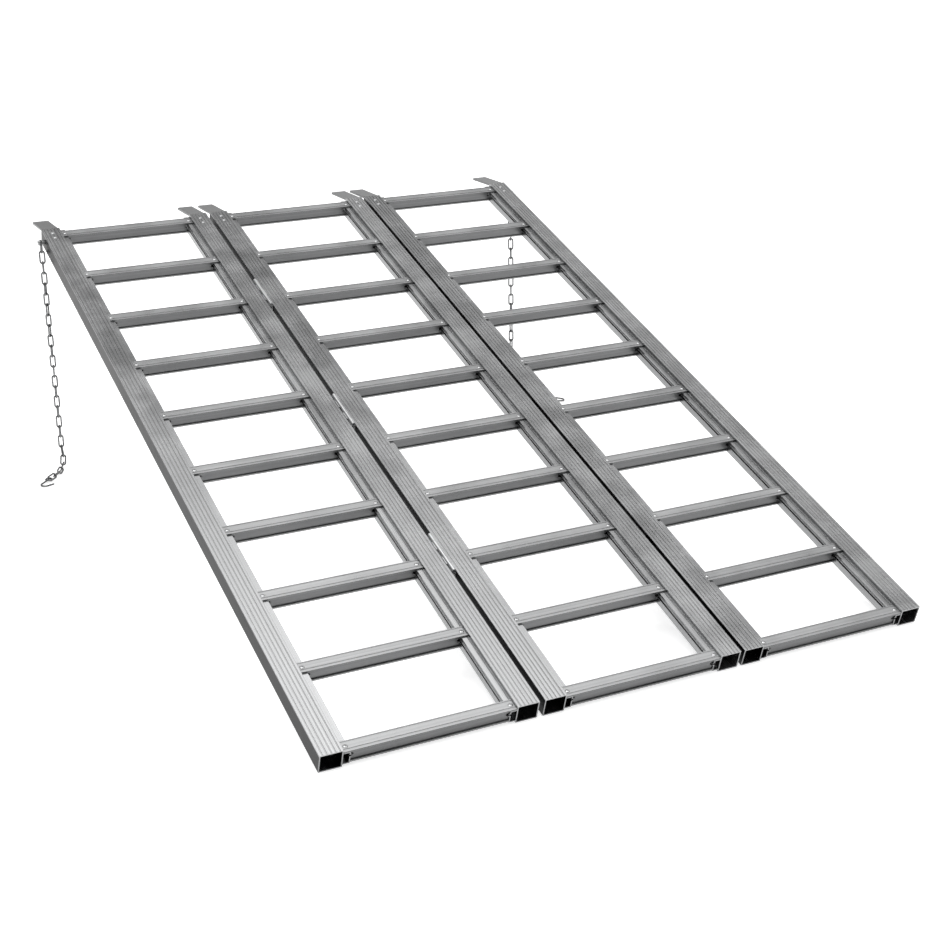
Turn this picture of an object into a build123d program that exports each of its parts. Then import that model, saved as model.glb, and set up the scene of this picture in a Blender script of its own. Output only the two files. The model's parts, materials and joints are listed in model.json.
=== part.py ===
from build123d import *
from math import cos, pi, radians, sin, tan
import os

# Three-panel folding loading ramp, shown unfolded and leaning on a tailgate.
# Millimetres, +Z up, +X across the ramp, +Y towards the vehicle.
# The origin is on the ground, under the middle of the ramp's outline.

# ---------------------------------------------------------------- driving sizes
incline = 17.5            # slope of the deck above the ground, degrees
rail_length = 1864.2
panel_width = 416.8
left_gap = 11.0           # gap with the upper hinges
right_gap = 8.6           # gap with the lower hinges

# rail section: a box tube with a lower ledge along its inner side
box_width = 44.0
box_height = 39.0
side_wall = 2.2
top_wall = 2.0
corner_radius = 1.6
groove_count = 5
groove_pitch = 8.0
groove_width = 2.6
groove_depth = 0.8
ledge_groove_offset = 2.4  # from the box wall
ledge_groove_width = 1.6
ledge_width = 13.5
ledge_drop = 7.5          # ledge top below the rail top
ledge_bottom = 34.0
ledge_wall = 2.0
slot_middle = 16.2        # slot in the ledge's inner wall, below the rail top
slot_height = 4.4
lip_reach = 2.0
lip_root = 0.2            # part of a lip inside the ledge wall
lip_thickness = 1.1

# rungs
rung_count = 10
rung_pitch = 203.2        # 8 in
rung_depth = 25.4         # 1 in, along the slope
flange_thickness = 2.5
rib_height = 0.8
rib_layout = ((1.4, 2.8), (7.2, 1.4), (24.4, 2.0))  # middle and width of each rib
toe_width = 1.2           # upturned front edge of the bottom plate
toe_height = 1.0
rung_bottom = 32.0        # underside of a rung, below the rail top
web_thickness = 2.0
web_inset = 3.0
rung_end_gap = 0.3
web_end_gap = 0.4
notch_reach = 7.0
notch_clearance = 0.4
notch_flare = 1.2
cut_margin = 1.0          # how far a cut starts outside the piece

# lip tongues at the upper end
tongue_thickness = 5.0
tongue_width = 39.0
tongue_reach = 107.0      # level lip past the rail end
tongue_grip = 85.0        # flat part inside the tube
bend_offset = 1.0         # bend line past the rail end
tongue_bend_radius = 4.0
tip_corner_radius = 3.0

# blind rivets
shank_radius = 2.4
hole_radius = 2.45
head_radius = 4.7
head_height = 1.6
head_shoulder = (3.3, 1.15)  # a point on the dome: out from the axis, up
mandrel_radius = 1.3      # open hole left by the mandrel
mandrel_depth = 1.2
tail_radius = 3.1
tail_end_radius = 2.5
tail_height = 2.5
tongue_rivet_setback = (24.0, 47.0)
rivet_inset = 52.0        # rung rivet from the rail's outer face

# hinges
hinge_centres = (430.5, 941.0, 1451.5)
hinge_length = 116.0
knuckle_count = 5
knuckle_gap = 0.4
barrel_radius = 4.0
pin_radius = 2.0
pin_bore_radius = 2.06
pin_head_radius = 3.3
pin_head_height = 1.2
leaf_thickness = 2.3
leaf_height = 26.0
leaf_clearance = 0.4      # leaf edge to the other leaf's knuckles
upper_axis = 2.0          # pin height above the rail tops, left gap
lower_axis = -40.0        # pin height in the right gap, just below the rails
hinge_rivet_offsets = (-46.0, -20.0, 20.0, 46.0)

# safety chains
wire_radius = 2.0
link_inner_width = 7.5
link_inner_length = 26.5
link_spacing = 26.3
chain_offset = 9.0        # chain line out from the rail's outer face
hanging_links = 20
twist_links = 13          # links over which the hanging chain twists
twist_angle = 36
bolt_setback = 30.0
bolt_drop = 19.5
bolt_radius = 3.0
bolt_clearance = 0.1
bolt_excess = 2.0         # thread past the nut
collar_radius = 5.5
bolt_head_radius = 6.0
bolt_head_height = 5.0
bolt_head_round = 2.4
link_slot = 5.0           # room for the first link between collar and head
link_rise = 0.3           # first link above the bolt's shank
nut_width = 10.0
nut_height = 5.0
hook_radius = 2.2
hook_eye_radius = 7.2
hook_bend_radius = 11.0
hook_shank = 24.0
hook_tip = 17.0
hook_bend_angle = 150
hook_eye_offset = 1.6     # eye centre past the end of the last link

# ---------------------------------------------------------------- the shared frame
slope_sin = sin(radians(incline))
slope_cos = cos(radians(incline))
ramp_width = 3 * panel_width + left_gap + right_gap
base_height = box_height * slope_cos
lip_end = (rail_length + bend_offset) * slope_cos + top_wall * slope_sin + tongue_reach
up_slope = Vector(0, slope_cos, slope_sin)
deck_normal = Vector(0, -slope_sin, slope_cos)
# deck plane: local x across, y up the slope, z off the deck; z = 0 at the rail tops
deck = Plane(
    origin=(-ramp_width / 2, -lip_end / 2, base_height),
    x_dir=(1, 0, 0),
    z_dir=deck_normal,
)

panels = ("left", "middle", "right")
panel_starts = (
    0.0,
    panel_width + left_gap,
    2 * panel_width + left_gap + right_gap,
)

os.makedirs("parts", exist_ok=True)


def deck_point(across, along, height=0.0):
    """A point given in the deck's own coordinates."""
    return deck.from_local_coords(Vector(across, along, height))


def end_plane(across, along, inward=1):
    """Plane square to the slope: local x runs inward, local y off the deck."""
    return Plane(
        origin=deck_point(across, along),
        x_dir=(inward, 0, 0),
        z_dir=up_slope * -inward,
    )


def side_plane(across, along=0.0):
    """Plane square to the X axis: local x up the slope, local y off the deck."""
    return Plane(origin=deck_point(across, along), x_dir=up_slope, z_dir=(1, 0, 0))


def finish(piece, name):
    """Label a finished piece and write it out."""
    piece.part.label = name
    export_step(piece.part, f"parts/{name}.step")
    print(f"{name:26s} {piece.part.volume:12.0f} mm3  {len(piece.part.solids())} solids")


# ---------------------------------------------------------------- rails
def rail_sides():
    """Name, outer face position, inward direction and bolt flag of each rail."""
    sides = []
    for panel, start in zip(panels, panel_starts):
        sides.append((f"{panel}_rail_a", start, 1, panel == "left"))
        sides.append((f"{panel}_rail_b", start + panel_width, -1, panel == "right"))
    return sides


def hinge_axis_height(panel, inward):
    """Pin height beside a rail's outer face, or None where the face is free."""
    if (panel, inward) in (("left", -1), ("middle", 1)):
        return upper_axis
    if (panel, inward) in (("middle", -1), ("right", 1)):
        return lower_axis
    return None


def hinge_rivet_height(axis_height):
    """Height of the hinge rivets: the middle of the leaf."""
    towards_rail = -1 if axis_height > -box_height / 2 else 1
    return axis_height + towards_rail * (barrel_radius + leaf_clearance + leaf_height / 2)


def rung_positions():
    """Distance of each rung's rivet line from the lower rail ends."""
    return [rung_depth / 2 + rung_pitch * index for index in range(rung_count)]


def make_rail(name, outer_face, inward, has_bolt):
    panel = name.split("_")[0]
    ledge_end = box_width + ledge_width
    with BuildPart() as rail:
        with BuildSketch(end_plane(outer_face, 0, inward)):
            with BuildLine():
                Polyline(
                    (0, 0),
                    (box_width, 0),
                    (box_width, -ledge_drop),
                    (ledge_end, -ledge_drop),
                    (ledge_end, -ledge_bottom),
                    (box_width, -ledge_bottom),
                    (box_width, -box_height),
                    (0, -box_height),
                    close=True,
                )
            outline = make_face()
            top_corners = outline.vertices().group_by(Axis((0, 0, 0), tuple(deck_normal)))[-1]
            fillet(top_corners, radius=corner_radius)
            # hollow of the box tube
            tube_middle = -(top_wall + box_height - side_wall) / 2
            with Locations((box_width / 2, tube_middle)):
                Rectangle(
                    box_width - 2 * side_wall,
                    box_height - top_wall - side_wall,
                    mode=Mode.SUBTRACT,
                )
            # hollow of the ledge
            ledge_middle = -(ledge_drop + ledge_bottom) / 2
            with Locations((box_width + (ledge_width - ledge_wall) / 2, ledge_middle)):
                Rectangle(
                    ledge_width - ledge_wall,
                    ledge_bottom - ledge_drop - 2 * ledge_wall,
                    mode=Mode.SUBTRACT,
                )
            # slot along the ledge's inner wall, with a lip above and below it
            with Locations((ledge_end - ledge_wall / 2, -slot_middle)):
                Rectangle(2 * ledge_wall, slot_height, mode=Mode.SUBTRACT)
            lip_offset = (slot_height + lip_thickness) / 2
            lip_x = ledge_end + (lip_reach - lip_root) / 2
            with Locations((lip_x, -slot_middle + lip_offset), (lip_x, -slot_middle - lip_offset)):
                Rectangle(lip_reach + lip_root, lip_thickness)
            # grooves along the tread face and beside the box on the ledge
            with Locations((box_width / 2, 0)):
                with GridLocations(groove_pitch, 0, groove_count, 1):
                    Rectangle(groove_width, 2 * groove_depth, mode=Mode.SUBTRACT)
            with Locations((box_width + ledge_groove_offset, -ledge_drop)):
                Rectangle(ledge_groove_width, 2 * groove_depth, mode=Mode.SUBTRACT)
        extrude(amount=-inward * rail_length)
        # rivet holes through the ledge's top wall
        ledge_points = [
            deck_point(outer_face + inward * rivet_inset, along, -ledge_drop)
            for along in rung_positions()
        ]
        for point in ledge_points:
            with BuildSketch(Plane(origin=point, x_dir=(1, 0, 0), z_dir=deck_normal)):
                Circle(hole_radius)
        extrude(amount=-2 * ledge_wall, mode=Mode.SUBTRACT)
        # rivet holes through the top wall for the lip tongue
        for setback in tongue_rivet_setback:
            point = deck_point(outer_face + inward * box_width / 2, rail_length - setback)
            with BuildSketch(Plane(origin=point, x_dir=(1, 0, 0), z_dir=deck_normal)):
                Circle(hole_radius)
        extrude(amount=-2 * top_wall, mode=Mode.SUBTRACT)
        # holes in the outer wall: hinge rivets, or the chain bolt
        axis_height = hinge_axis_height(panel, inward)
        if axis_height is not None:
            for centre in hinge_centres:
                for offset_along in hinge_rivet_offsets:
                    place = side_plane(outer_face, centre + offset_along)
                    with BuildSketch(place):
                        with Locations((0, hinge_rivet_height(axis_height))):
                            Circle(hole_radius)
            extrude(amount=inward * 2 * side_wall, mode=Mode.SUBTRACT)
        if has_bolt:
            with BuildSketch(side_plane(outer_face, rail_length - bolt_setback)):
                with Locations((0, -bolt_drop)):
                    Circle(bolt_radius + bolt_clearance)
            extrude(amount=inward * 2 * side_wall, mode=Mode.SUBTRACT)
    finish(rail, name)


# ---------------------------------------------------------------- rungs
def make_rung(name, panel_start, along_front):
    flange_start = box_width + rung_end_gap
    web_start = box_width + ledge_width + web_end_gap
    flange_top = ledge_drop - flange_thickness
    half_notch = slot_height / 2 + lip_thickness + notch_clearance
    with BuildPart() as rung:
        # tread flange with three raised ribs, reaching over both ledges
        with BuildSketch(side_plane(panel_start + flange_start, along_front)):
            with Locations((rung_depth / 2, -(ledge_drop + flange_top) / 2)):
                Rectangle(rung_depth, flange_thickness)
            for middle, width in rib_layout:
                with Locations((middle, -flange_top + rib_height / 2)):
                    Rectangle(width, rib_height)
        extrude(amount=panel_width - 2 * flange_start)
        # two webs and a bottom plate with a small toe, between the ledges
        with BuildSketch(side_plane(panel_start + web_start, along_front)):
            web_height = rung_bottom - ledge_drop
            front_web = web_inset + web_thickness / 2
            for middle in (front_web, rung_depth - front_web):
                with Locations((middle, -(ledge_drop + rung_bottom) / 2)):
                    Rectangle(web_thickness, web_height)
            with Locations((rung_depth / 2, -rung_bottom + web_thickness / 2)):
                Rectangle(rung_depth, web_thickness)
            with Locations((toe_width / 2, -rung_bottom + web_thickness + toe_height / 2)):
                Rectangle(toe_width, toe_height)
        extrude(amount=panel_width - 2 * web_start)
        # pointed notch at each end of both webs, in line with the ledge's slot
        notch_mouth = lip_reach + notch_clearance
        for web_end, inward in ((web_start, 1), (panel_width - web_start, -1)):
            with BuildSketch(end_plane(panel_start + web_end, along_front, inward)):
                with BuildLine():
                    Polyline(
                        (-cut_margin, -slot_middle + half_notch),
                        (notch_mouth, -slot_middle + half_notch),
                        (notch_mouth, -slot_middle + half_notch + notch_flare),
                        (notch_reach, -slot_middle),
                        (notch_mouth, -slot_middle - half_notch - notch_flare),
                        (notch_mouth, -slot_middle - half_notch),
                        (-cut_margin, -slot_middle - half_notch),
                        close=True,
                    )
                make_face()
            extrude(amount=-inward * rung_depth, mode=Mode.SUBTRACT)
        # rivet holes through the flange ends
        for across in (rivet_inset, panel_width - rivet_inset):
            point = deck_point(panel_start + across, along_front + rung_depth / 2, -flange_top)
            with BuildSketch(Plane(origin=point, x_dir=(1, 0, 0), z_dir=deck_normal)):
                Circle(hole_radius)
        extrude(amount=-2 * flange_thickness, mode=Mode.SUBTRACT)
    finish(rung, name)


# ---------------------------------------------------------------- lip tongues
def make_tongue(name, outer_face, inward):
    inner_bend = tongue_thickness * tan(radians(incline / 2))
    bend = (rail_length + bend_offset, -top_wall)
    tip = (bend[0] + tongue_reach * slope_cos, bend[1] - tongue_reach * slope_sin)
    first_face = outer_face + inward * (box_width - tongue_width) / 2
    with BuildPart() as tongue:
        with BuildSketch(side_plane(first_face)):
            with BuildLine():
                Polyline(
                    (rail_length - tongue_grip, -top_wall),
                    bend,
                    tip,
                    (tip[0] - tongue_thickness * slope_sin, tip[1] - tongue_thickness * slope_cos),
                    (bend[0] - inner_bend, bend[1] - tongue_thickness),
                    (rail_length - tongue_grip, -top_wall - tongue_thickness),
                    close=True,
                )
            make_face()
        extrude(amount=inward * tongue_width)
        # soften the bend and the corners of the tip
        across_edges = tongue.edges().filter_by(Axis.X)
        bend_edges = [
            edge
            for edge in across_edges
            if abs(deck.to_local_coords(edge.center()).Y - bend[0]) < tongue_bend_radius
        ]
        fillet(bend_edges, radius=tongue_bend_radius)
        tip_corners = tongue.edges().filter_by(Axis.Z).group_by(Axis.Y)[-1]
        fillet(tip_corners, radius=tip_corner_radius)
        for setback in tongue_rivet_setback:
            point = deck_point(outer_face + inward * box_width / 2, rail_length - setback, -top_wall)
            with BuildSketch(Plane(origin=point, x_dir=(1, 0, 0), z_dir=deck_normal)):
                Circle(hole_radius)
        extrude(amount=-2 * tongue_thickness, mode=Mode.SUBTRACT)
    finish(tongue, name)


# ---------------------------------------------------------------- rivets
def make_rivet(grip):
    """One set blind rivet: axis along Z, the open domed head sitting on z = 0."""
    with BuildPart() as rivet:
        with BuildSketch(Plane.XZ):
            with BuildLine():
                dome = ThreePointArc(
                    (mandrel_radius, head_height),
                    head_shoulder,
                    (head_radius, 0),
                )
                Polyline(
                    dome @ 1,
                    (shank_radius, 0),
                    (shank_radius, -grip),
                    (tail_radius, -grip),
                    (tail_end_radius, -grip - tail_height),
                    (0, -grip - tail_height),
                    (0, head_height - mandrel_depth),
                    (mandrel_radius, head_height - mandrel_depth),
                    dome @ 0,
                )
            make_face()
        revolve(axis=Axis.Z)
    return rivet.part


def deck_seats(panel_start):
    """Seats of a panel's rung rivets, heads on the rung flanges."""
    flange_top = ledge_drop - flange_thickness
    return [
        Plane(
            origin=deck_point(panel_start + across, along, -flange_top),
            x_dir=(1, 0, 0),
            z_dir=deck_normal,
        ).location
        for along in rung_positions()
        for across in (rivet_inset, panel_width - rivet_inset)
    ]


def tongue_seats(panel_start):
    """Seats of a panel's tongue rivets, heads on the rail tops."""
    return [
        Plane(
            origin=deck_point(panel_start + across, rail_length - setback),
            x_dir=(1, 0, 0),
            z_dir=deck_normal,
        ).location
        for across in (box_width / 2, panel_width - box_width / 2)
        for setback in tongue_rivet_setback
    ]


def hinge_seats(panel, panel_start):
    """Seats of a panel's hinge rivets, heads on the leaves inside the gap."""
    seats = []
    for outer_face, inward in ((panel_start, 1), (panel_start + panel_width, -1)):
        axis_height = hinge_axis_height(panel, inward)
        if axis_height is None:
            continue
        leaf_face = outer_face - inward * leaf_thickness
        for centre in hinge_centres:
            for offset_along in hinge_rivet_offsets:
                point = deck_point(leaf_face, centre + offset_along, hinge_rivet_height(axis_height))
                seats.append(Plane(origin=point, x_dir=up_slope, z_dir=(-inward, 0, 0)).location)
    return seats


def make_rivets(panel, panel_start):
    short_rivet = make_rivet(flange_thickness + ledge_wall)
    long_rivet = make_rivet(top_wall + tongue_thickness)
    with BuildPart() as rivets:
        with Locations(*deck_seats(panel_start), *hinge_seats(panel, panel_start)):
            add(short_rivet)
        with Locations(*tongue_seats(panel_start)):
            add(long_rivet)
    finish(rivets, f"{panel}_rivets")


# ---------------------------------------------------------------- hinges
def knuckle_spans(first):
    """Start and length of every other knuckle, measured from the hinge's lower end."""
    pitch = hinge_length / knuckle_count
    return [
        (index * pitch + knuckle_gap / 2, pitch - knuckle_gap)
        for index in range(first, knuckle_count, 2)
    ]


def make_leaves(name, gap_middle, half_gap, rail_side, axis_height, first_knuckle):
    """Three leaves on one rail; rail_side is +1 where the rail lies towards +X."""
    away = -1 if axis_height > -box_height / 2 else 1
    plate_start = axis_height + away * (barrel_radius + leaf_clearance)
    leaf_x = rail_side * (half_gap - leaf_thickness / 2)
    with BuildPart() as leaves:
        for centre in hinge_centres:
            lower_end = centre - hinge_length / 2
            with BuildSketch(end_plane(gap_middle, lower_end)):
                with Locations((leaf_x, plate_start + away * leaf_height / 2)):
                    Rectangle(leaf_thickness, leaf_height)
            extrude(amount=-hinge_length)
            for start, length in knuckle_spans(first_knuckle):
                with BuildSketch(end_plane(gap_middle, lower_end + start)):
                    with Locations((0, axis_height)):
                        Circle(barrel_radius)
                    with Locations((leaf_x, (axis_height + plate_start) / 2)):
                        Rectangle(leaf_thickness, barrel_radius + leaf_clearance)
                    with Locations((0, axis_height)):
                        Circle(pin_bore_radius, mode=Mode.SUBTRACT)
                extrude(amount=-length)
            for offset_along in hinge_rivet_offsets:
                wall_face = gap_middle + rail_side * half_gap
                with BuildSketch(side_plane(wall_face, centre + offset_along)):
                    with Locations((0, hinge_rivet_height(axis_height))):
                        Circle(hole_radius)
                extrude(amount=-rail_side * 2 * leaf_thickness, mode=Mode.SUBTRACT)
    finish(leaves, name)


def make_pins(hinge_lines):
    """One headed pin for each hinge of both hinge lines."""
    with BuildPart() as pins:
        for gap_middle, axis_height in hinge_lines:
            for centre in hinge_centres:
                lower_end = centre - hinge_length / 2 + knuckle_gap / 2
                length = hinge_length - knuckle_gap
                with BuildSketch(end_plane(gap_middle, lower_end)):
                    with Locations((0, axis_height)):
                        Circle(pin_radius)
                extrude(amount=-length)
                for along, direction in ((lower_end, 1), (lower_end + length, -1)):
                    with BuildSketch(end_plane(gap_middle, along)):
                        with Locations((0, axis_height)):
                            Circle(pin_head_radius)
                    extrude(amount=direction * pin_head_height)
    finish(pins, "hinge_pins")


# ---------------------------------------------------------------- safety chains
bolt_along = rail_length - bolt_setback
bolt_centre = deck_point(0, bolt_along, -bolt_drop)
top_node_height = bolt_centre.Z + bolt_radius + link_rise
floor_node_height = wire_radius + (link_inner_width / 2 + wire_radius) * sin(pi / 4)

# Loose end of the chain, where it bends over and lies on the ground: the ends of
# its links, measured outward, along Y and up from the ground under the bolt.
tail_points = (
    (0.0, 1.4, 46.8),
    (0.0, -9.8, 23.8),
    (6.6, -30.0, 9.8),
    (16.4, -53.5, 7.0),
    (28.0, -77.0, 6.1),
    (43.5, -97.8, 7.7),
    (62.0, -116.0, 6.5),
)
tail_rolls = (0, 102, 22, 130, 45, 140)


def hanging_points(plumb_x):
    """Points where the links of the hanging chain meet, from the bolt down."""
    half_slack = (link_inner_length - link_spacing) / 2
    return [
        Vector(plumb_x, bolt_centre.Y, top_node_height - half_slack - index * link_spacing)
        for index in range(hanging_links + 1)
    ]


def resting_points(plumb_x, outward):
    """Points where the links of the loose end meet."""
    return [
        Vector(plumb_x + outward * out, bolt_centre.Y + along, height)
        for out, along, height in tail_points
    ]


def hanging_roll(index):
    """Roll of a hanging link about the chain, degrees: crossed, with a slow twist."""
    return 90 * (index % 2) + twist_angle * sin(pi * min(index / twist_links, 1))


def link_seat(start, end, roll):
    """Place of a link between two points: its long axis along the chain."""
    direction = (end - start).normalized()
    side = direction.cross(Vector(0, 0, 1))
    if side.length < 0.05:
        side = Vector(1, 0, 0)
    side = side.normalized()
    normal = side.rotate(Axis((0, 0, 0), tuple(direction)), roll)
    return Plane(origin=(start + end) / 2, x_dir=direction, z_dir=normal).location


def make_link():
    """One closed oval link in the XY plane, long axis along X."""
    bend_radius = link_inner_width / 2 + wire_radius
    half_straight = link_inner_length / 2 + wire_radius - bend_radius
    with BuildPart() as link:
        with BuildLine() as loop:
            upper = Line((-half_straight, bend_radius), (half_straight, bend_radius))
            nose = RadiusArc(upper @ 1, (half_straight, -bend_radius), bend_radius)
            lower = Line(nose @ 1, (-half_straight, -bend_radius))
            RadiusArc(lower @ 1, upper @ 0, bend_radius)
        with BuildSketch(Plane(origin=loop.line @ 0, z_dir=loop.line % 0)):
            Circle(wire_radius)
        sweep()
    return link.part


def make_chain_run(name, link, points, rolls):
    with BuildPart() as run:
        seats = [
            link_seat(start, end, roll)
            for start, end, roll in zip(points, points[1:], rolls)
        ]
        with Locations(*seats):
            add(link)
    finish(run, name)


def make_hook(name, points, outward):
    """Open wire hook lying almost flat: a round eye, a shank and an open bend."""
    heading = (points[-1] - points[-2]).normalized()
    level = Vector(heading.X, heading.Y, 0).normalized()
    reach = hook_eye_radius + hook_shank + hook_bend_radius
    fall = (floor_node_height - hook_radius) / (2 * reach)
    lie = Vector(level.X, level.Y, -fall).normalized()
    across = Vector(0, 0, -outward).cross(level)
    eye_centre = points[-1] + lie * hook_eye_offset
    seat = Plane(origin=eye_centre, x_dir=lie, z_dir=lie.cross(across))
    with BuildPart() as hook:
        with BuildLine(seat) as eye:
            CenterArc((0, 0), hook_eye_radius, 0, 360)
        with BuildSketch(Plane(origin=eye.line @ 0, z_dir=eye.line % 0)):
            Circle(hook_radius)
        sweep(path=eye.line)
        with BuildLine(seat) as stem:
            shank_end = hook_eye_radius + hook_shank
            shank = Line((hook_eye_radius, 0), (shank_end, 0))
            bend = JernArc(shank @ 1, (1, 0), hook_bend_radius, hook_bend_angle)
            Line(bend @ 1, (bend @ 1) + (bend % 1) * hook_tip)
        with BuildSketch(Plane(origin=stem.line @ 0, z_dir=stem.line % 0)):
            Circle(hook_radius)
        sweep(path=stem.line)
    finish(hook, name)


def make_bolt(name, outer_face, outward):
    """Shoulder bolt: collar against the rail, room for a link, domed head."""
    head_start = chain_offset + link_slot / 2
    with BuildPart() as bolt:
        base = Plane(
            origin=deck_point(outer_face, bolt_along, -bolt_drop),
            x_dir=up_slope,
            z_dir=(outward, 0, 0),
        )
        with BuildSketch(base):
            Circle(collar_radius)
        extrude(amount=chain_offset - link_slot / 2)
        shank_end = side_wall + nut_height + bolt_excess
        with BuildSketch(base.offset(-shank_end)):
            Circle(bolt_radius)
        extrude(amount=shank_end + head_start)
        with BuildSketch(base.offset(head_start)):
            Circle(bolt_head_radius)
        extrude(amount=bolt_head_height)
        head_face = -1 if outward > 0 else 0
        fillet(bolt.edges().group_by(Axis.X)[head_face], radius=bolt_head_round)
    finish(bolt, name)


def make_nut(name, outer_face, outward):
    with BuildPart() as nut:
        seat = Plane(
            origin=deck_point(outer_face - outward * side_wall, bolt_along, -bolt_drop),
            x_dir=up_slope,
            z_dir=(-outward, 0, 0),
        )
        with BuildSketch(seat):
            RegularPolygon(nut_width / 2, 6, major_radius=False)
            Circle(bolt_radius, mode=Mode.SUBTRACT)
        extrude(amount=nut_height)
    finish(nut, name)


# ---------------------------------------------------------------- build
for rail_name, face, facing, bolted in rail_sides():
    make_rail(rail_name, face, facing, bolted)
    make_tongue(rail_name.replace("rail", "tongue"), face, facing)

for panel_name, start in zip(panels, panel_starts):
    for number in range(rung_count):
        make_rung(f"{panel_name}_rung_{number + 1:02d}", start, number * rung_pitch)
    make_rivets(panel_name, start)

left_line = panel_width + left_gap / 2
right_line = panel_starts[2] - right_gap / 2
make_leaves("left_hinge_leaves", left_line, left_gap / 2, -1, upper_axis, 1)
make_leaves("middle_upper_leaves", left_line, left_gap / 2, 1, upper_axis, 0)
make_leaves("middle_lower_leaves", right_line, right_gap / 2, -1, lower_axis, 0)
make_leaves("right_hinge_leaves", right_line, right_gap / 2, 1, lower_axis, 1)
make_pins(((left_line, upper_axis), (right_line, lower_axis)))

chain_link = make_link()
hanging_rolls = [hanging_roll(index) for index in range(hanging_links)]
for side_name, outer, direction in (("left", 0.0, -1), ("right", ramp_width, 1)):
    chain_x = deck_point(outer, 0).X + direction * chain_offset
    loose_end = resting_points(chain_x, direction)
    loose_rolls = [direction * roll for roll in tail_rolls]
    make_chain_run(f"{side_name}_chain", chain_link, hanging_points(chain_x), hanging_rolls)
    make_chain_run(f"{side_name}_chain_tail", chain_link, loose_end, loose_rolls)
    make_hook(f"{side_name}_chain_hook", loose_end, direction)
    make_bolt(f"{side_name}_chain_bolt", outer, direction)
    make_nut(f"{side_name}_chain_nut", outer, direction)
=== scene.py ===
import json
from math import cos, radians, sin

import bpy
from mathutils import Euler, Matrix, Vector


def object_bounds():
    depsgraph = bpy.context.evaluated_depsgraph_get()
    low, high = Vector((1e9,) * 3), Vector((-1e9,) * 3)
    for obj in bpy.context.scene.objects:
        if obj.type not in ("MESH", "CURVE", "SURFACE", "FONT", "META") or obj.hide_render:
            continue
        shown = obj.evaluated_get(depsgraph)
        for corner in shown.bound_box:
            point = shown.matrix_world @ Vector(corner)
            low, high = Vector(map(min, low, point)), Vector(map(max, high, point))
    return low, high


# Folding loading ramp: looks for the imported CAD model. Metres, +Z up, +Y towards the vehicle.
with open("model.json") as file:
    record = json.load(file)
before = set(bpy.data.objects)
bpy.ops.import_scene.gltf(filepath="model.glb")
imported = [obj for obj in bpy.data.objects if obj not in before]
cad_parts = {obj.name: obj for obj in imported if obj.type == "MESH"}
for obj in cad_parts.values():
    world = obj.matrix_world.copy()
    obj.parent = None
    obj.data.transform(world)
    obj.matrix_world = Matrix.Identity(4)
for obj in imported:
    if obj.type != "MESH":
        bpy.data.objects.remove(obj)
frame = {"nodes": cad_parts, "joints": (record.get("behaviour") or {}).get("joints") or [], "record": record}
cad_low, cad_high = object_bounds()
nodes = frame["nodes"]
joint_named = {joint["name"]: joint for joint in frame["joints"]}

# the deck's own directions: the folds turn about the slope line
up_slope = Vector(joint_named["left_fold"]["axis"]).normalized()
incline = up_slope.angle(Vector((0, 1, 0)))
deck_normal = Vector((0, -sin(incline), cos(incline)))


# ---------------------------------------------------------------- camera
def aim(azimuth, elevation, roll):
    """Camera rotation: azimuth 0 looks along +Y and 90 along -X, degrees."""
    turned = Euler((radians(90 - elevation), 0, radians(azimuth)), "XYZ").to_matrix()
    return (turned @ Euler((0, 0, radians(roll)), "XYZ").to_matrix()).to_euler()


camera_data = bpy.data.cameras.new("camera")
camera_data.lens = 63.43
camera_data.sensor_width = 36.0
camera = bpy.data.objects.new("camera", camera_data)
camera.location = (-1.4804, -3.2545, 1.4288)
camera.rotation_euler = aim(azimuth=-26.248, elevation=20.142, roll=-0.693)
bpy.context.scene.collection.objects.link(camera)
bpy.context.scene.camera = camera


# ---------------------------------------------------------------- material building
noise_range = (0.3, 0.7)  # where most of a noise texture's values lie
narrow_range = (0.35, 0.65)  # the same for a stronger contrast
full_range = (0.0, 1.0)
line_stretch = 2.5  # how far a fine die line runs before it changes
broad_line_stretch = 6.0  # the same for a broad one
broad_line_ratio = 7  # a broad line's width in fine lines
wall_tint, top_tint = 0.012, 0.008  # cool tints of the painted shade on walls and of the painted light on surfaces turned up
band_blur = 0.0001  # how softly a band of painted shade and painted highlight begins and ends


def add_node(tree, kind, inputs=(), **settings):
    """Add a node. A value in inputs is a constant, or another node's output to link."""
    made = tree.nodes.new(kind)
    for name, value in settings.items():
        setattr(made, name, value)
    for name, value in dict(inputs).items():
        if isinstance(value, bpy.types.NodeSocket):
            tree.links.new(value, made.inputs[name])
        else:
            made.inputs[name].default_value = value
    return made


def calculate(tree, operation, first, second):
    return add_node(tree, "ShaderNodeMath", {0: first, 1: second}, operation=operation).outputs[0]


def product(tree, *values):
    result = values[0]
    for value in values[1:]:
        result = calculate(tree, "MULTIPLY", result, value)
    return result


def scaled(tree, colour, strength):
    """A colour times a grey value."""
    made = add_node(
        tree, "ShaderNodeVectorMath", {0: colour, 1: strength}, operation="MULTIPLY"
    )
    return made.outputs[0]


def remap(tree, value, source, target):
    """Map a value smoothly from one range to another, held at both ends."""
    made = add_node(
        tree,
        "ShaderNodeMapRange",
        {
            "Value": value,
            "From Min": source[0],
            "From Max": source[1],
            "To Min": target[0],
            "To Max": target[1],
        },
        interpolation_type="SMOOTHSTEP",
    )
    return made.outputs["Result"]


def noise(tree, coordinates, scale, detail=2.0, roughness=0.5):
    made = add_node(
        tree,
        "ShaderNodeTexNoise",
        {"Vector": coordinates, "Scale": scale, "Detail": detail, "Roughness": roughness},
    )
    return made.outputs["Fac"]


def mix_colour(tree, factor, first, second):
    made = add_node(
        tree, "ShaderNodeMix", {"Factor": factor, 6: first, 7: second}, data_type="RGBA"
    )
    return made.outputs[2]


def grey(value, tint=0.0):
    """A grey with a slight cool tint."""
    return (value * (1 - tint), value, value * (1 + tint), 1.0)


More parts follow.
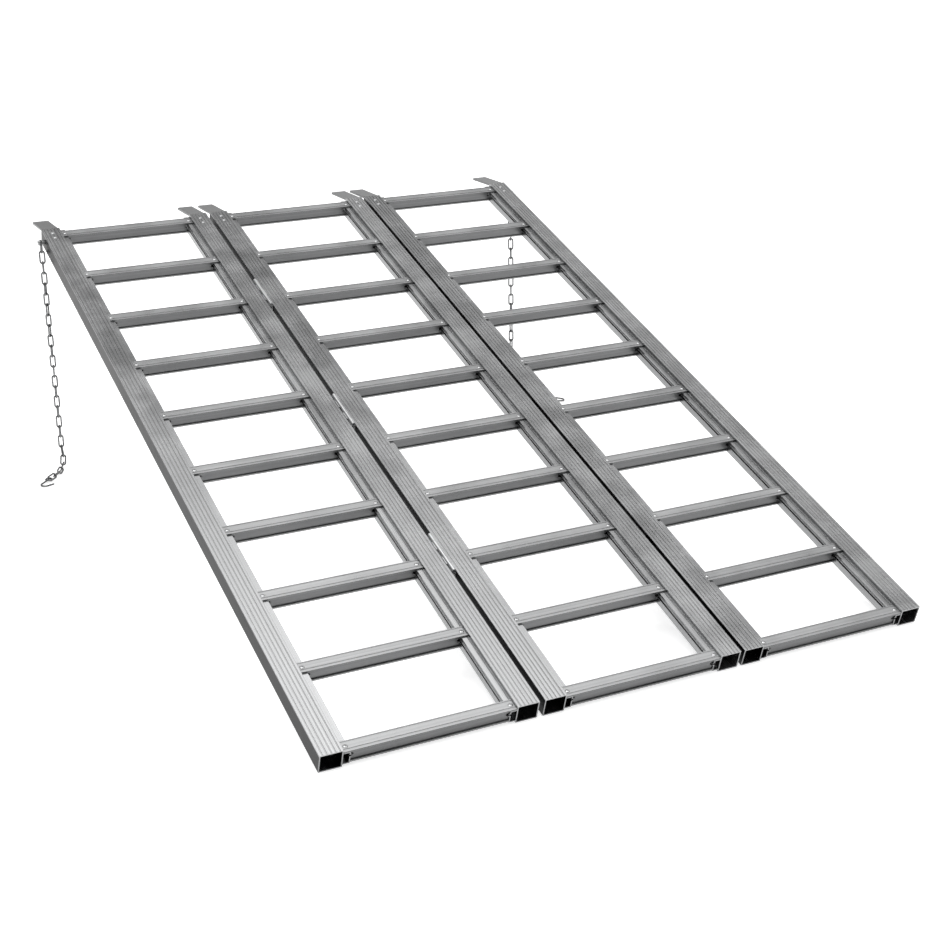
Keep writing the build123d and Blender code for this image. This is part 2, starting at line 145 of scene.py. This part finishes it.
def stretched(tree, coordinates, along, spacing, length):
    """Coordinates for lines that run along local axis `along`, in units of one line."""
    scale = [1 / spacing] * 3
    scale[along] = 1 / length
    made = add_node(tree, "ShaderNodeMapping", {"Vector": coordinates, "Scale": scale})
    return made.outputs["Vector"]


def facing_share(tree, normal, direction):
    """1 where a normal points in the direction, 0 at right angles to it."""
    made = add_node(
        tree, "ShaderNodeVectorMath", {0: normal, 1: direction}, operation="DOT_PRODUCT"
    )
    return made.outputs["Value"]


def start_material(name):
    material = bpy.data.materials.new(name)
    material.use_nodes = True
    tree = material.node_tree
    tree.nodes.clear()
    shader = add_node(tree, "ShaderNodeBsdfPrincipled")
    output = add_node(tree, "ShaderNodeOutputMaterial")
    tree.links.new(shader.outputs[0], output.inputs["Surface"])
    return material, tree, shader


def level_of(node_name, pick):
    """Highest or lowest level of a CAD node, measured along the deck's normal."""
    return pick(deck_normal.dot(vertex.co) for vertex in nodes[node_name].data.vertices)


def between(tree, value, low, high, blur):
    """1 where the value lies between two levels, 0 outside."""
    above = remap(tree, value, (low - blur, low + blur), (0.0, 1.0))
    below = remap(tree, value, (high - blur, high + blur), (1.0, 0.0))
    return product(tree, above, below)


def aluminium(
    name,
    along,
    lit_grey,
    shaded,
    roughness,
    lines=0.0006,
    wear_and_highlight=0.25,
    painted_light_bands=(),
    shaded_side=None,
    glancing=1.0,
):
    """Extruded aluminium with die lines along local axis 0 (across) or 1 (up the slope).

    lit_grey is the grey of painted light on surfaces turned to the deck's normal, shaded the grey of painted
    shade on the others.
    lines is the spacing of fine die lines, wear_and_highlight how bright edges are painted, as rubbed wear
    and as painted edge highlight.
    painted_light_bands are layers of the section painted in another grey, as painted shade and painted
    highlight: lowest level, highest level, grey.
    shaded_side is a direction and the grey of painted shade on walls turned that way, where they
    differ from the others. glancing is the grey of walls seen almost edge on.
    """
    material, tree, shader = start_material(name)
    coordinates = add_node(tree, "ShaderNodeTexCoord")
    local = add_node(
        tree,
        "ShaderNodeVectorRotate",
        {"Vector": coordinates.outputs["Object"], "Angle": -incline},
        rotation_type="X_AXIS",
    ).outputs["Vector"]
    fine = noise(tree, stretched(tree, local, along, lines, line_stretch), scale=1.0)
    broad = stretched(tree, local, along, lines * broad_line_ratio, broad_line_stretch)
    broad_lines = noise(tree, broad, scale=1.0)
    cloud = noise(tree, local, scale=9.0, detail=4.0, roughness=0.55)
    speckle = noise(tree, local, scale=1400.0, detail=1.0)
    scuff = noise(tree, local, scale=55.0, detail=5.0, roughness=0.7)

    # tone: painted light and shade, surfaces turned to the deck's normal painted lighter as lit, walls
    # painted darker as shaded
    upward = facing_share(tree, coordinates.outputs["Normal"], deck_normal)
    lit_mask = remap(tree, upward, (0.35, 0.95), full_range)
    walls = grey(shaded, wall_tint)
    # painted shade: walls turned to one side are painted darker
    if shaded_side is not None:
        direction, side_shade_grey = shaded_side
        turned = facing_share(tree, coordinates.outputs["Normal"], direction)
        dull_and_side_shade = remap(tree, turned, (0.6, 0.9), full_range)
        walls = mix_colour(tree, dull_and_side_shade, walls, grey(side_shade_grey, wall_tint))
    tone = mix_colour(tree, lit_mask, walls, grey(lit_grey, top_tint))
    level = add_node(tree, "ShaderNodeSeparateXYZ", {0: local}).outputs["Z"]
    # painted shade and painted highlight in layers of the section
    for low, high, value in painted_light_bands:
        painted_band = between(tree, level, low, high, band_blur)
        tone = mix_colour(tree, painted_band, tone, grey(value, top_tint))
    streak, band, patch = (
        remap(tree, texture, noise_range, (0.93, 1.06)) for texture in (fine, broad_lines, cloud)
    )
    grain = remap(tree, speckle, narrow_range, (0.95, 1.05))
    tone = scaled(tree, tone, product(tree, streak, band, patch, grain))

    # wear and painted highlight: edges brightened as rubbed and as lit, found where a rounded normal differs
    # from the face's own
    rounded = add_node(tree, "ShaderNodeBevel", {"Radius": 0.0007}, samples=4)
    geometry = add_node(tree, "ShaderNodeNewGeometry")
    match = facing_share(tree, rounded.outputs["Normal"], geometry.outputs["Normal"])
    worn_highlit_edges = remap(tree, match, (0.98, 0.86), (0.0, wear_and_highlight))
    worn_highlit_edges = product(tree, worn_highlit_edges, remap(tree, scuff, (0.35, 0.6), (0.3, 1.0)))
    tone = mix_colour(tree, worn_highlit_edges, tone, grey(0.95))
    tree.links.new(tone, shader.inputs["Base Color"])

    blotch = remap(tree, cloud, noise_range, (roughness - 0.05, roughness + 0.06))
    rough = calculate(tree, "ADD", blotch, remap(tree, fine, noise_range, (-0.03, 0.03)))
    tree.links.new(rough, shader.inputs["Roughness"])
    bump = add_node(
        tree,
        "ShaderNodeBump",
        {"Strength": 0.5, "Distance": 0.00001, "Height": fine, "Normal": rounded.outputs["Normal"]},
    )
    tree.links.new(bump.outputs["Normal"], shader.inputs["Normal"])
    shader.inputs["Metallic"].default_value = 1.0
    shader.inputs["Specular Tint"].default_value = grey(glancing)
    return material


def plated_steel(name, bright, dull_and_side_shade, roughness):
    """Zinc-plated steel: fine crystals in brighter and duller patches, painted shade in hollows."""
    material, tree, shader = start_material(name)
    coordinates = add_node(tree, "ShaderNodeTexCoord").outputs["Object"]
    cloud = noise(tree, coordinates, scale=160.0, detail=4.0, roughness=0.6)
    crystal = noise(tree, coordinates, scale=1800.0, roughness=0.6)
    # painted shade: darker where ambient occlusion finds hollows
    occlusion = add_node(tree, "ShaderNodeAmbientOcclusion", {"Distance": 0.006}, samples=4)
    patch = remap(tree, cloud, narrow_range, full_range)
    tone = mix_colour(tree, patch, grey(dull_and_side_shade, 0.02), grey(bright, 0.01))
    painted_hollow_shade = remap(tree, occlusion.outputs["AO"], (0.35, 0.95), (0.45, 1.0))
    sparkle = remap(tree, crystal, narrow_range, (0.88, 1.10))
    tone = scaled(tree, tone, product(tree, painted_hollow_shade, sparkle))
    tree.links.new(tone, shader.inputs["Base Color"])
    rough = remap(tree, cloud, noise_range, (roughness - 0.06, roughness + 0.10))
    tree.links.new(rough, shader.inputs["Roughness"])
    bump = add_node(
        tree,
        "ShaderNodeBump",
        {"Strength": 0.5, "Distance": 0.00005, "Height": crystal},
    )
    tree.links.new(bump.outputs["Normal"], shader.inputs["Normal"])
    shader.inputs["Metallic"].default_value = 1.0
    return material


across, slope = 0, 1  # the local axis that die lines run along
tread_level = level_of("left_rail_a", max)
rung_bottom = level_of("left_rung_01", min)
groove_depth = 0.0008
groove_layer = 0.0025  # how far below the tread the grooves' painted shade reaches
toe_height = 0.003
# painted shade on the groove floors
groove_shade_band = (tread_level - groove_layer, tread_level - groove_depth / 2, 0.42)
# painted highlight: the rungs' toe band painted lighter, standing for the floor's reflection
rung_toe_highlight = (rung_bottom - toe_height, rung_bottom + toe_height, 0.26)
leftward = Vector((-1, 0, 0))
# each panel's left rail is "_a" and its right rail "_b"
# each aluminium paints light on surfaces turned to the deck's normal and shade on its walls
materials = {
    "left_rails": aluminium(
        "left_rail_aluminium",
        slope,
        lit_grey=0.54,
        shaded=0.30,
        roughness=0.22,
        wear_and_highlight=0.30,
        painted_light_bands=[groove_shade_band],
        # painted shade on the left rails' walls turned left, nearly black
        shaded_side=(leftward, 0.05),
        glancing=0.6,
    ),
    "right_rails": aluminium(
        "right_rail_aluminium",
        slope,
        lit_grey=0.54,
        shaded=0.28,
        roughness=0.24,
        wear_and_highlight=0.30,
        painted_light_bands=[groove_shade_band],
    ),
    "rungs": aluminium(
        "rung_aluminium",
        across,
        lit_grey=0.50,
        shaded=0.30,
        roughness=0.34,
        wear_and_highlight=0.35,
        painted_light_bands=[rung_toe_highlight],
        # painted shade on the rungs' fronts, turned down the slope
        shaded_side=(-up_slope, 0.16),
    ),
    "tongues": aluminium("tongue_aluminium", slope, lit_grey=0.36, shaded=0.18, roughness=0.38),
    "hinges": aluminium(
        "hinge_aluminium", slope, lit_grey=0.75, shaded=0.40, roughness=0.30, wear_and_highlight=0.5
    ),
    "rivets": aluminium(
        "rivet_aluminium",
        slope,
        lit_grey=0.60,
        shaded=0.40,
        roughness=0.24,
        lines=0.0002,
        wear_and_highlight=0.3,
    ),
    "pins": plated_steel("pin_steel", bright=0.55, dull_and_side_shade=0.45, roughness=0.32),
    "bolts": plated_steel("bolt_steel", bright=0.45, dull_and_side_shade=0.30, roughness=0.30),
    "chain": plated_steel("chain_steel", bright=0.22, dull_and_side_shade=0.10, roughness=0.28),
}

for part in frame["record"]["subparts"]:
    piece = nodes[part["node"]]
    kind = part["material_slot"]
    if kind == "rails":
        kind = "left_rails" if part["node"].endswith("_a") else "right_rails"
    piece.data.materials.clear()
    piece.data.materials.append(materials[kind])


# ---------------------------------------------------------------- floor and light
def make_floor():
    """A wide white paper floor under the ramp's lowest point."""
    reach = 40.0
    height = cad_low[2]
    mesh = bpy.data.meshes.new("floor")
    corner_signs = ((-1, -1), (1, -1), (1, 1), (-1, 1))
    corners = [(reach * x_sign, reach * y_sign, height) for x_sign, y_sign in corner_signs]
    mesh.from_pydata(corners, [], [(0, 1, 2, 3)])
    floor = bpy.data.objects.new("floor", mesh)
    bpy.context.scene.collection.objects.link(floor)
    material, tree, shader = start_material("floor_paper")
    coordinates = add_node(tree, "ShaderNodeTexCoord").outputs["Object"]
    fibre = noise(tree, coordinates, scale=40.0, detail=3.0)
    fleck = remap(tree, fibre, noise_range, full_range)
    tone = mix_colour(tree, fleck, grey(0.93), grey(0.95))
    tree.links.new(tone, shader.inputs["Base Color"])
    shader.inputs["Roughness"].default_value = 0.9
    shader.inputs["Specular IOR Level"].default_value = 0.2
    shader.inputs["Emission Color"].default_value = grey(1.0)
    shader.inputs["Emission Strength"].default_value = 0.6
    mesh.materials.append(material)


def make_sky():
    """Studio surround: a bright ceiling over a dim band, lighter again at the horizon.

    All but the ceiling is brighter on the right. Ranges are parts of a unit direction.
    """
    world = bpy.data.worlds.new("studio")
    world.use_nodes = True
    tree = world.node_tree
    tree.nodes.clear()
    direction = add_node(tree, "ShaderNodeTexCoord").outputs["Generated"]
    parts = add_node(tree, "ShaderNodeSeparateXYZ", {0: direction}).outputs
    ceiling = remap(tree, parts["Z"], (0.765, 0.835), (0.0, 1.40))
    horizon = remap(tree, parts["Z"], (0.60, 0.74), (0.62, 0.30))
    right_side = remap(tree, parts["X"], (0.20, 0.45), (0.76, 1.08))
    strength = calculate(tree, "ADD", product(tree, horizon, right_side), ceiling)
    background = add_node(
        tree, "ShaderNodeBackground", {"Color": (1.0, 1.0, 1.0, 1.0), "Strength": strength}
    )
    output = add_node(tree, "ShaderNodeOutputWorld")
    tree.links.new(background.outputs[0], output.inputs["Surface"])
    bpy.context.scene.world = world


def make_softbox(name, place, target, size, power):
    data = bpy.data.lights.new(name, "AREA")
    data.shape = "RECTANGLE"
    data.size, data.size_y = size
    data.energy = power
    light = bpy.data.objects.new(name, data)
    light.location = place
    light.rotation_euler = (Vector(target) - Vector(place)).to_track_quat("-Z", "Y").to_euler()
    bpy.context.scene.collection.objects.link(light)


bpy.context.scene.view_settings.view_transform = "Standard"
make_floor()
make_sky()
middle = (Vector(cad_low) + Vector(cad_high)) / 2
make_softbox("key", place=(-2.4, -1.2, 4.0), target=middle, size=(2.4, 2.4), power=30)
